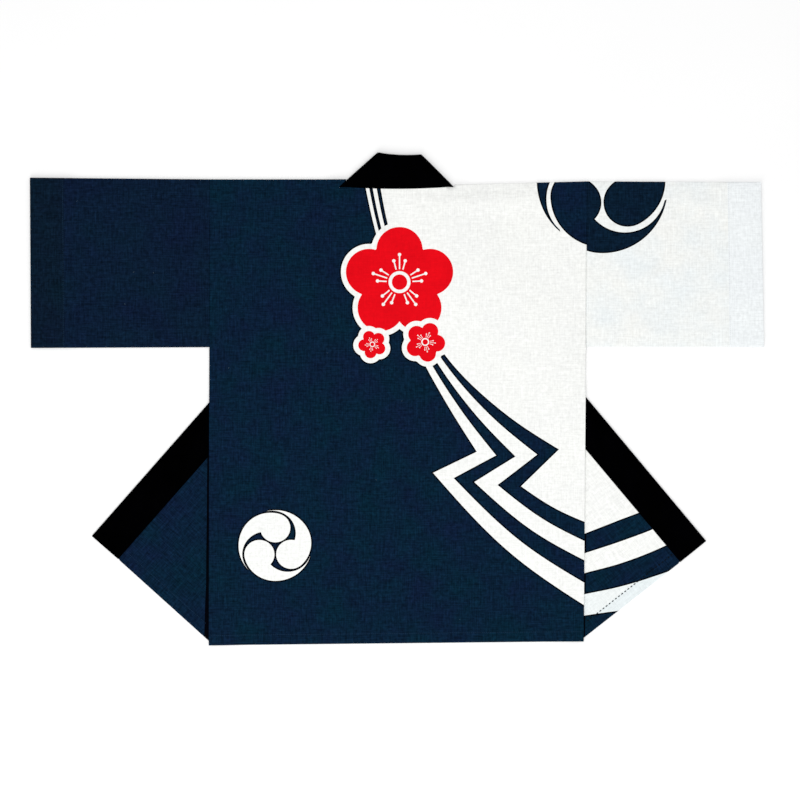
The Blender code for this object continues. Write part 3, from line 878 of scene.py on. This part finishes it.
class SleeveCut:
    """One sleeve's cut: its layer on top lies as on the table, the other is mirrored over the top fold."""

    def __init__(self, side):
        self.side = side
        self.top = Edge(side.shoulder, side.cuff_top, side.underarm)
        self.low = Edge(side.underarm, side.cuff_low, side.shoulder)
        self.cuff = Edge(side.cuff_top, side.cuff_low, side.shoulder)
        self.arm = Edge(side.shoulder, side.underarm, side.cuff_top)
        self.length = (side.cuff_top - side.shoulder).length

    def at(self, along, across):
        """A place on the sleeve: along from the armhole in metres, and across from 0 to 1."""
        share = along / self.length
        top = self.side.shoulder.lerp(self.side.cuff_top, share)
        return top.lerp(self.side.underarm.lerp(self.side.cuff_low, share), across)

    def across_at(self, along, *shares):
        return [self.at(along, share) for share in shares]

    def under(self, places):
        """The same places on the lower layer, on the flat cloth."""
        return [self.top.mirror(place) for place in places]

    def outline(self):
        end = self.length + CUFF_HEM
        upper = [self.at(-TUCK, 1.0), self.at(self.length, 1.0)] + self.across_at(end, 1.0, 0.0)
        lower = [self.at(along, 1.0) for along in (end, self.length, SEAM_GAP)]
        return upper + self.under(lower) + [self.at(SEAM_GAP, 0.0), self.at(-TUCK, 0.0)]

    def cuff_figure(self):
        """The doubled cloth of the cuff, right round, with its hem."""
        hem = self.across_at(self.length - CUFF_HEM, 0.0, 1.1)
        half = hem + self.across_at(self.length + CUFF_HEM * 1.5, 1.1, 0.0)
        return half + self.under([half[2], half[1]])

    def rows(self):
        """Both folds along the sleeve, the cuff's fold, its hem and the armhole seam."""
        steps = [2 * FOLD_ROW * step / FOLD_STEPS for step in range(-FOLD_STEPS // 2, FOLD_STEPS // 2 + 1)]
        rows = []
        for offset in steps[FOLD_STEPS // 2:] + [FOLD_SETTLE]:
            rows += [edge.row(offset, OVERRUN, OVERRUN * 2) for edge in (self.top, self.low)]
        hem = self.length - CUFF_HEM
        reaches = [self.length + offset for offset in steps] + [hem, hem - HEM_EASE]
        reaches += [SEAM_GAP, TUCK_END / 2, TUCK_END, SEAM_REACH / 2, SEAM_REACH]
        rows += [self.across_at(reach, -0.01, 1.01) for reach in reaches]
        return rows + [self.under(row) for row in rows]

    def lay(self, point):
        """Lays one point of the flat cloth: round the top and the underarm, and in at the cuff."""
        down = self.top.distance(point)
        on_top = down >= 0.0
        place = point if on_top else self.top.mirror(point)
        from_top = abs(down)
        from_low = self.low.distance(place)
        from_arm = self.arm.distance(place)
        from_cuff = self.cuff.distance(place)
        reach = abs(from_cuff)
        if from_cuff < 0.0:
            along = self.length * (1.0 - reach / (from_arm - reach))
            place = self.at(along, from_top / (from_top + from_low))
        hem_start = self.length - CUFF_HEM - SEAM_GAP
        rise = ramp(self.length - reach, hem_start - CUFF_RISE, hem_start)
        hem_layer = SOLID_CLOTH + SEAM_GAP
        half = STEP / 2 + (hem_layer * 1.5 - STEP / 2) * rise
        move, radius = bend(from_cuff, half, half - hem_layer)
        place = place + self.cuff.normal * move
        if on_top and from_cuff > 0.0:
            radius += self.relief(place, from_top, from_low, from_arm, from_cuff)
        edge = self.top if from_top < from_low else self.low
        move, above = bend(min(from_top, from_low), radius, -radius)
        place = place + edge.normal * move
        height = SOLID_CLOTH / 2 + half
        return Vector((place.x, place.y, height + above if on_top else height - above))

    def relief(self, place, from_top, from_low, from_arm, from_cuff):
        """What the layer on top adds to its height: creases, and the pressed seam at the armhole."""
        fade = ramp(from_top, RELIEF_NEAR, RELIEF_FAR) * ramp(from_low, RELIEF_NEAR, RELIEF_FAR)
        fade *= ramp(from_arm, SEAM_REACH, RELIEF_FAR)
        fade *= ramp(from_cuff, CUFF_HEM + 2 * MM, CUFF_HEM + 16 * MM)
        crease = crease_height(Vector((from_arm, from_top)), SLEEVE_CREASES)
        height = fade * (billow(place) + max(crease, -DEEPEST))
        tucked = ramp(from_arm, TUCK_END, SEAM_GAP) * (WALL + HEM_PRESS)
        return height - seam_dip(max(from_arm, 0.0)) - tucked


def make_sleeve(name, side, cloths, ground, cuff, prints):
    cut = SleeveCut(side)
    outline = cut.outline()
    dyed = [(ground, outline, None), (cuff, cut.cuff_figure(), None)] + prints
    flat, faces, dyes = cut_cloth(outline, cut.rows(), dyed)
    sleeve = make_sheet(name, flat, [cut.lay(point) for point in flat], faces, dyes, cloths)
    shape = bmesh.new()
    shape.from_mesh(sleeve.data)
    bmesh.ops.remove_doubles(shape, verts=shape.verts, dist=0.02 * MM)
    shape.to_mesh(sleeve.data)
    shape.free()
    return sleeve


def make_body(cloths):
    flat, faces, dyes = cut_cloth(body_outline(), body_rows(), body_prints())
    return make_sheet("coat_body", flat, [lay_body(point) for point in flat], faces, dyes, cloths)


def rulings_round_fold(line, inner, outer, top, bottom, top_way, bottom_way):
    """Lines across the collar as it goes round a fold, from the layer on top to the one below.

    A way is the pair of directions in which the collar's two edges leave the fold.
    """
    radius = (top - bottom) / 2
    rulings = []
    for step in range(COLLAR_TURN + 1):
        angle = pi / 2 - pi * step / COLLAR_TURN
        ways = top_way if angle >= 0 else bottom_way
        inset = radius * (1.0 - cos(angle))
        ends = []
        for place, way in zip((inner, outer), ways):
            ends.append(place + way * (inset / line.normal.dot(way)))
        rulings.append((ends[0], ends[1], (top + bottom) / 2 + radius * sin(angle)))
    return rulings


def between(start, end, count):
    """Rulings between two others, without the first."""
    rulings = []
    for share in spread(0.0, 1.0, count + 1)[1:]:
        height = start[2] + (end[2] - start[2]) * share
        rulings.append((start[0].lerp(end[0], share), start[1].lerp(end[1], share), height))
    return rulings


def collar_half(side, middle):
    """Lines across the collar from the middle of the neck to its end at a front's hem."""
    flat_height = SOLID_COLLAR / 2
    neck_inner, neck_outer, _ = middle
    mitre_ways = (heading(side.neck, neck_inner), heading(side.mitre, neck_outer))
    down_ways = (heading(side.neck, side.fold_seam), heading(side.mitre, side.fold_top))
    up_ways = (down_ways[0] * -1.0, down_ways[1] * -1.0)
    out_ways = (heading(side.fold_seam, side.front_seam), heading(side.fold_top, side.front_corner))
    mitre = rulings_round_fold(
        side.mitre_fold, side.neck, side.mitre, NECK_HEIGHT, flat_height, mitre_ways, down_ways)
    neck = []
    shares = spread(0.0, 1.0, NECK_LINES + 1)
    for share, (inner, outer, height) in zip(shares, [middle] + between(middle, mitre[0], NECK_LINES)):
        sag = Vector((0.0, NECK_SAG * (1.0 - share * share)))
        neck.append((inner - sag, outer - sag * 0.6, height))
    rulings = neck[:-1] + mitre
    for depth in [-CLIMB_FAR * 2] + spread(-CLIMB_FAR, -CLIMB_NEAR, 6):
        height = flat_height + ramp(depth, -CLIMB_FAR, -CLIMB_NEAR) * COLLAR_RISE
        inner = side.strip_edge.crossing(depth, side.neck, side.fold_seam)
        outer = side.strip_edge.crossing(depth, side.mitre, side.fold_top)
        rulings.append((inner, outer, height))
    fold = rulings_round_fold(
        side.fold, side.fold_seam, side.fold_top, flat_height + COLLAR_RISE, flat_height, up_ways, out_ways)
    rulings += between(rulings[-1], fold[0], 6)[:-1] + fold
    return rulings + between(fold[-1], (side.front_seam, side.front_corner, flat_height), FRONT_LINES)


def collar_relief(along, across):
    """Soft waves of the doubled band, where it stands or lies freely."""
    wave = sin(along * 34.0 + 0.6) * sin(along * 13.0 + across * 2.0)
    return 0.30 * MM * wave * sin(pi * across)


def make_collar(cloth):
    """One doubled band, folded at both mitres and at both fronts' folds, open towards its seam."""
    neck_inner = (LEFT.neck + RIGHT.neck) / 2
    neck_outer = (LEFT.mitre + RIGHT.mitre) / 2
    middle = (neck_inner, neck_outer, NECK_HEIGHT)
    left = collar_half(LEFT, middle)
    left.reverse()
    rulings = left + collar_half(RIGHT, middle)[1:]
    section = [(share, 1.0) for share in spread(0.0, 1.0, COLLAR_COLUMNS + 1)]
    section += [(1.0, cos(pi * step / COLLAR_TURN)) for step in range(1, COLLAR_TURN)]
    section += [(share, -1.0) for share in spread(1.0, 0.0, COLLAR_COLUMNS + 1)]
    centres = [(inner.to_3d() + UP * height, outer.to_3d() + UP * height) for inner, outer, height in rulings]
    places = []
    flat = []
    along = 0.0
    for index, (inner, outer) in enumerate(centres):
        before = centres[max(index - 1, 0)]
        after = centres[min(index + 1, len(centres) - 1)]
        travel = (after[0] + after[1] - before[0] - before[1]) / 2
        across = outer - inner
        normal = across.cross(travel).normalized() * -1.0
        if index:
            along += (inner + outer - before[0] - before[1]).length / 2
        width = across.length
        band = across.normalized()
        for order, (share, way) in enumerate(section):
            crown = BAND_HALF * (0.92 + 0.30 * sin(pi * min(share, 1.0)) ** 0.7)
            place = inner.lerp(outer, share * (1.0 - BAND_HALF / width))
            if abs(way) < 1.0:
                place += band * (BAND_HALF * sqrt(1.0 - way * way))
            lift = collar_relief(along, share) if way > 0.0 else 0.0
            places.append(place + normal * (crown * way) + UP * max(lift, 0.0))
            distance = share * width if order <= COLLAR_COLUMNS + COLLAR_TURN / 2 else (2.0 - share) * width
            flat.append(Vector((distance, along)))
    faces = []
    count = len(section)
    for ruling in range(len(rulings) - 1):
        for column in range(count - 1):
            corner = ruling * count + column
            faces.append([corner, corner + count, corner + count + 1, corner + 1])
    return make_sheet("coat_collar", flat, places, faces, [0] * len(faces), [cloth], BAND_WALL)


def stitch(shape, start, end, width, sink):
    """One thread as it shows between two holes, thickest in the middle."""
    along = end - start
    side = Vector((-along.y, along.x, 0.0)).normalized()
    rings = []
    for share, fullness in ((0.0, 0.35), (0.22, 0.9), (0.5, 1.0), (0.78, 0.9), (1.0, 0.35)):
        centre = start + along * share - UP * (sink * (2.0 * share - 1.0) ** 2)
        ring = []
        for step in range(THREAD_SIDES):
            angle = tau * step / THREAD_SIDES
            offset = side * cos(angle) + UP * sin(angle)
            ring.append(shape.verts.new(centre + offset * (width / 2 * fullness)))
        rings.append(ring)
    for ring, next_ring in zip(rings, rings[1:]):
        for step in range(THREAD_SIDES):
            after = (step + 1) % THREAD_SIDES
            shape.faces.new([ring[step], ring[after], next_ring[after], next_ring[step]])
    shape.faces.new(rings[0][::-1])
    shape.faces.new(rings[-1])


def make_threads(name, run, surface, cloth, width=THREAD, pitch=STITCH_PITCH):
    """A row of stitches along a run, given by its two ends. Surface gives the cloth's height."""
    shape = bmesh.new()
    start, end = run
    count = max(1, round((end - start).length / pitch))
    for step in range(count):
        ends = []
        for share in (step + 0.10, step + 0.80):
            place = start.lerp(end, share / count)
            ends.append(place.to_3d() + UP * (surface(place) + WALL / 2 + width * 0.15))
        stitch(shape, *ends, width, width * 0.5)
    threads = add_shape(name, shape, cloth)
    threads.data.shade_smooth()
    return threads


def make_lint(cloth):
    """A few pale flecks of fibre that lie on the navy cloth."""
    shape = bmesh.new()
    left_cut = SleeveCut(LEFT)
    for x, y, size in LINT:
        place = spot(x, y)
        base = back_height(place) if abs(place.x) < abs(LEFT.hem.x) else left_cut.lay(place).z
        for _ in range(3):
            fibre = unit(RANDOM.uniform(0.0, 360.0)).to_3d() * size * MM * RANDOM.uniform(0.25, 0.5)
            aside = unit(RANDOM.uniform(0.0, 360.0)).to_3d() * size * MM * 0.35
            centre = place.to_3d() + UP * (base + WALL / 2 + 0.25 * MM) + aside
            stitch(shape, centre - fibre, centre + fibre, 0.45 * MM, 0.2 * MM)
    return add_shape("lint", shape, cloth)


def linear(code):
    """A colour given as sRGB hex, turned to linear."""
    parts = [int(code[place:place + 2], 16) / 255.0 for place in (1, 3, 5)]
    turned = [part / 12.92 if part <= 0.04045 else ((part + 0.055) / 1.055) ** 2.4 for part in parts]
    return (*turned, 1.0)


def add_node(material, kind, settings, links=None):
    """Adds a node with its settings, which are its own or its sockets', and its links.

    A link comes from a node's first output, or from the one named beside the node.
    """
    node = material.node_tree.nodes.new("ShaderNode" + kind)
    for name, value in settings.items():
        if isinstance(name, str) and hasattr(node, name):
            setattr(node, name, value)
        else:
            node.inputs[name].default_value = value
    for name, source in (links or {}).items():
        source, output = source if isinstance(source, tuple) else (source, 0)
        material.node_tree.links.new(source.outputs[output], node.inputs[name])
    return node


def add_noise(material, vector, scale, detail, roughness=0.5):
    settings = {"Scale": scale, "Detail": detail, "Roughness": roughness}
    return add_node(material, "TexNoise", settings, {"Vector": vector})


def add_range(material, value, low, high, new_low=0.0, new_high=1.0):
    settings = {"From Min": low, "From Max": high, "To Min": new_low, "To Max": new_high}
    return add_node(material, "MapRange", settings, {"Value": value})


def add_tones(material, first, second, share):
    return add_node(material, "Mix", {"data_type": "RGBA", 6: first, 7: second}, {0: share})


def new_material(name):
    material = bpy.data.materials.new(name)
    material.use_nodes = True
    material.node_tree.nodes.clear()
    return material


def finish_material(material, colour, roughness, gloss, links):
    """Gives a material its surface, with the colour that a Mix node makes."""
    shader = add_node(
        material, "BsdfPrincipled", {"Roughness": roughness, "IOR": 1.5, "Specular IOR Level": gloss},
        {"Base Color": (colour, 2), **links})
    add_node(material, "OutputMaterial", {}, {"Surface": shader})
    return material


def woven_cotton(name, first_tone, second_tone, mottle, slub, gloss):
    """Plain-woven cotton, dyed in two near tones that drift over the cloth.

    The yarns make a fine even cross-weave that takes away all mirror gloss. Thick places in the
    yarn show as short streaks along the grain, both ways. Happi cotton has a yarn about every
    0.45 mm, and its slubs are about 0.5 mm thick and 30 mm long. At this picture's scale both are
    too fine to show, so the weave is drawn every 2.3 mm and the slubs 1.6 mm thick.
    """
    material = new_material(name)
    cut = add_node(material, "UVMap", {"uv_map": "cut"})
    drift = add_range(material, add_noise(material, cut, 1 / CLOUD, 3.0, 0.6), 0.34, 0.66)
    dye = add_tones(material, linear(first_tone), linear(second_tone), drift)
    fleck = add_noise(material, cut, 1 / FLECK, 2.0, 0.7)
    uneven = add_range(material, fleck, 0.3, 0.7, 1.0 - mottle, 1.0 + mottle)
    streaks = []
    for scale in ((1 / SLUB_WIDTH, 1 / SLUB_LENGTH, 1.0), (1 / SLUB_LENGTH, 1 / SLUB_WIDTH, 1.0)):
        stretched = add_node(material, "Mapping", {"Scale": scale}, {"Vector": cut})
        streaks.append(add_noise(material, stretched, 1.0, 1.0))
    both = add_node(material, "Math", {"operation": "ADD"}, {0: streaks[0], 1: streaks[1]})
    yarn = add_range(material, both, 0.75, 1.25, 1.0 - slub, 1.0 + slub)
    tint = add_node(material, "Math", {"operation": "MULTIPLY"}, {0: uneven, 1: yarn})
    colour = add_node(
        material, "Mix", {"data_type": "RGBA", "blend_type": "MULTIPLY", 0: 1.0}, {6: (dye, 2), 7: tint})
    waves = []
    for bands in ("X", "Y"):
        settings = {"bands_direction": bands, "Scale": WAVE_PITCH / YARN_PITCH, "Distortion": 0.4}
        waves.append((add_node(material, "TexWave", settings, {"Vector": cut}), "Fac"))
    weave = add_node(material, "Math", {"operation": "MULTIPLY"}, {0: waves[0], 1: waves[1]})
    relief = add_node(material, "Math", {"operation": "MULTIPLY_ADD", 1: 0.6}, {0: both, 2: weave})
    bump = add_node(material, "Bump", {"Strength": 0.5, "Distance": 0.12 * MM}, {"Height": relief})
    return finish_material(material, colour, 0.88, gloss, {"Normal": bump})


def spun_thread(name, tone):
    """Spun cotton sewing thread: matt, with the slant of its twist as fine light and dark bands.

    The twist of a real thread repeats about every 0.6 mm, and it is drawn every 1.2 mm.
    """
    material = new_material(name)
    place = (add_node(material, "TexCoord", {}), "Object")
    turned = add_node(material, "Mapping", {"Rotation": (0.0, 0.0, 0.8)}, {"Vector": place})
    twist = add_node(material, "TexWave", {"Scale": WAVE_PITCH / TWIST_PITCH}, {"Vector": turned})
    dark = tuple(part * 0.8 for part in linear(tone)[:3]) + (1.0,)
    return finish_material(material, add_tones(material, dark, linear(tone), (twist, "Fac")), 0.8, 0.1, {})


def paper_sweep(name):
    """Matt white backdrop paper, with a very faint cloudiness from its pulp."""
    material = new_material(name)
    pulp = add_noise(material, (add_node(material, "TexCoord", {}), "Object"), 3.0, 4.0)
    colour = add_tones(material, linear("#FBFBFB"), linear("#FEFEFE"), pulp)
    return finish_material(material, colour, 0.9, 0.1, {})


def make_floor():
    shape = bmesh.new()
    bmesh.ops.create_circle(shape, cap_ends=True, radius=FLOOR_RADIUS, segments=96)
    floor = add_shape("floor", shape, paper_sweep("matt backdrop paper"))
    floor.location.z = -FLOOR_DROP


def add_light(name, place, size, power):
    """A square soft light that looks at the middle of the coat."""
    data = bpy.data.lights.new(name, "AREA")
    data.shape = "SQUARE"
    data.size = size
    data.energy = power
    light = add_object(name, data)
    light.location = place
    light.rotation_euler = (Vector(place) * -1.0).to_track_quat("-Z", "Y").to_euler()


def make_stage():
    """Floor, soft light from above and from the hem's side, and a camera straight above."""
    make_floor()
    add_light("overhead softbox", (0.0, 0.0, 3.6), 3.2, OVERHEAD_POWER)
    add_light("side softbox", (-0.7, -2.7, 1.5), 1.6, SIDE_POWER)
    world = bpy.data.worlds.new("white studio")
    world.use_nodes = True
    sky = world.node_tree.nodes["Background"]
    sky.inputs["Color"].default_value = (1.0, 1.0, 1.0, 1.0)
    sky.inputs["Strength"].default_value = WORLD_STRENGTH
    bpy.context.scene.world = world
    bpy.context.scene.view_settings.view_transform = "Standard"
    lens = bpy.data.cameras.new("camera")
    lens.lens = LENS
    lens.sensor_width = 36.0
    camera = add_object("camera", lens)
    camera.location = CAMERA_PLACE
    bpy.context.scene.camera = camera


def hem_run():
    """Where the back's hem is sewn: just inside the raw edge of its turned part."""
    return HEM.row(BACK_HEM - SEWN_IN, -3 * MM, -3 * MM)


def cuff_run(cut):
    reach = cut.length - CUFF_HEM + SEWN_IN
    return cut.across_at(reach, 0.012, 0.988)


def front_hem_run(side):
    """The sewn line of a front's hem, from the back's side edge to the collar."""
    start, end = side.front_hem_line.row(FRONT_HEM - SEWN_IN)
    shown = (abs(side.hem.x) - abs(start.x)) / (abs(end.x) - abs(start.x))
    return start.lerp(end, shown + 0.03), end


# The cloths, each with the two tones that its dye drifts between, and how uneven its dye and yarn are
CLOTHS = {
    # cloth: (material, first tone, second tone, mottle, slub, gloss)
    "navy": ("dyed navy cotton", "#062030", "#0B1A32", 0.36, 0.34, 0.02),
    # line: the print's dark edges, and painted shadow beside the back's side edges
    "line": ("dark navy of the print's edges and of painted shadow", "#020409", "#030308", 0.2, 0.2, 0.01),
    "white": ("bleached white cotton", "#F2F3F0", "#F0F1EF", 0.065, 0.055, 0.05),
    # cool: the right front's white, darkened as painted shade
    "cool": ("bleached cotton with painted shade on the right front", "#E8EDED", "#EAEEED", 0.06, 0.05, 0.05),
    "double": ("doubled white cotton", "#E1E9EA", "#E3EAEC", 0.06, 0.05, 0.05),
    "red": ("red printed cotton", "#E60A18", "#DA0816", 0.05, 0.05, 0.03),
    "sleeve navy": ("dyed navy sleeve cotton", "#091C2E", "#0B182F", 0.36, 0.34, 0.02),
    "figure navy": ("navy dye of the sleeve's figure", "#081D2D", "#09192C", 0.36, 0.34, 0.02),
    "cuff navy": ("doubled navy cotton", "#081A28", "#0A1729", 0.36, 0.34, 0.02),
    "sleeve white": ("bleached sleeve cotton", "#F0F1EE", "#E9EEEF", 0.065, 0.055, 0.05),
    "cuff white": ("doubled sleeve cotton", "#EDF1F2", "#EBEFF1", 0.065, 0.055, 0.05),
    "black": ("dyed black cotton", "#000000", "#010102", 0.2, 0.2, 0.004),
}


def main():
    cloth = {key: woven_cotton(*row) for key, row in CLOTHS.items()}
    navy_thread = spun_thread("navy cotton thread", "#1B3550")
    white_thread = spun_thread("white cotton thread", "#E2E6E8")
    dust_thread = spun_thread("grey lint", "#4A5D69")
    dash_thread = spun_thread("dark navy cotton thread", "#04080E")

    body = make_body([cloth[key] for key in ("navy", "white", "line", "double", "red", "cool")])
    sleeves = {}
    sleeves["left"] = make_sleeve(
        "left_sleeve", LEFT, [cloth["sleeve navy"], cloth["cuff navy"]], NAVY, PLAIN_CUFF, [])
    sleeves["right"] = make_sleeve(
        "right_sleeve", RIGHT, [cloth[key] for key in ("figure navy", "sleeve white", "line", "cuff white")],
        WHITE, DOUBLE, navy_commas(sleeve_commas()))
    collar = make_collar(cloth["black"])

    threads = {"hem": make_threads("hem_stitches", hem_run(), back_height, navy_thread)}
    for name, side, thread in (("left", LEFT, navy_thread), ("right", RIGHT, white_thread)):
        cut = SleeveCut(side)
        threads[name + " cuff"] = make_threads(
            name + "_cuff_stitches", cuff_run(cut), lambda place, cut=cut: cut.lay(place).z, thread)
    for name, side, *sewing in (
            ("left", LEFT, navy_thread, THREAD, STITCH_PITCH),
            ("right", RIGHT, dash_thread, LONG_THREAD, LONG_PITCH)):
        threads[name + " front"] = make_threads(
            name + "_front_hem_stitches", front_hem_run(side), folded_height, *sewing)
    lint = make_lint(dust_thread)

    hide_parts("body")
    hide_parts("collar")
    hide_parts("sleeve_left")
    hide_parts("sleeve_right")
    slots = {
        "printed_cotton": [body, sleeves["right"]],
        "navy_cotton": [sleeves["left"], threads["hem"], threads["left cuff"], threads["left front"],
                        threads["right front"]],
        "white_cotton": [threads["right cuff"], lint],
        "black_cotton": [collar],
    }
    for name, pieces in slots.items():
        for piece in pieces:
            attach(piece, "root")


main()
make_stage()
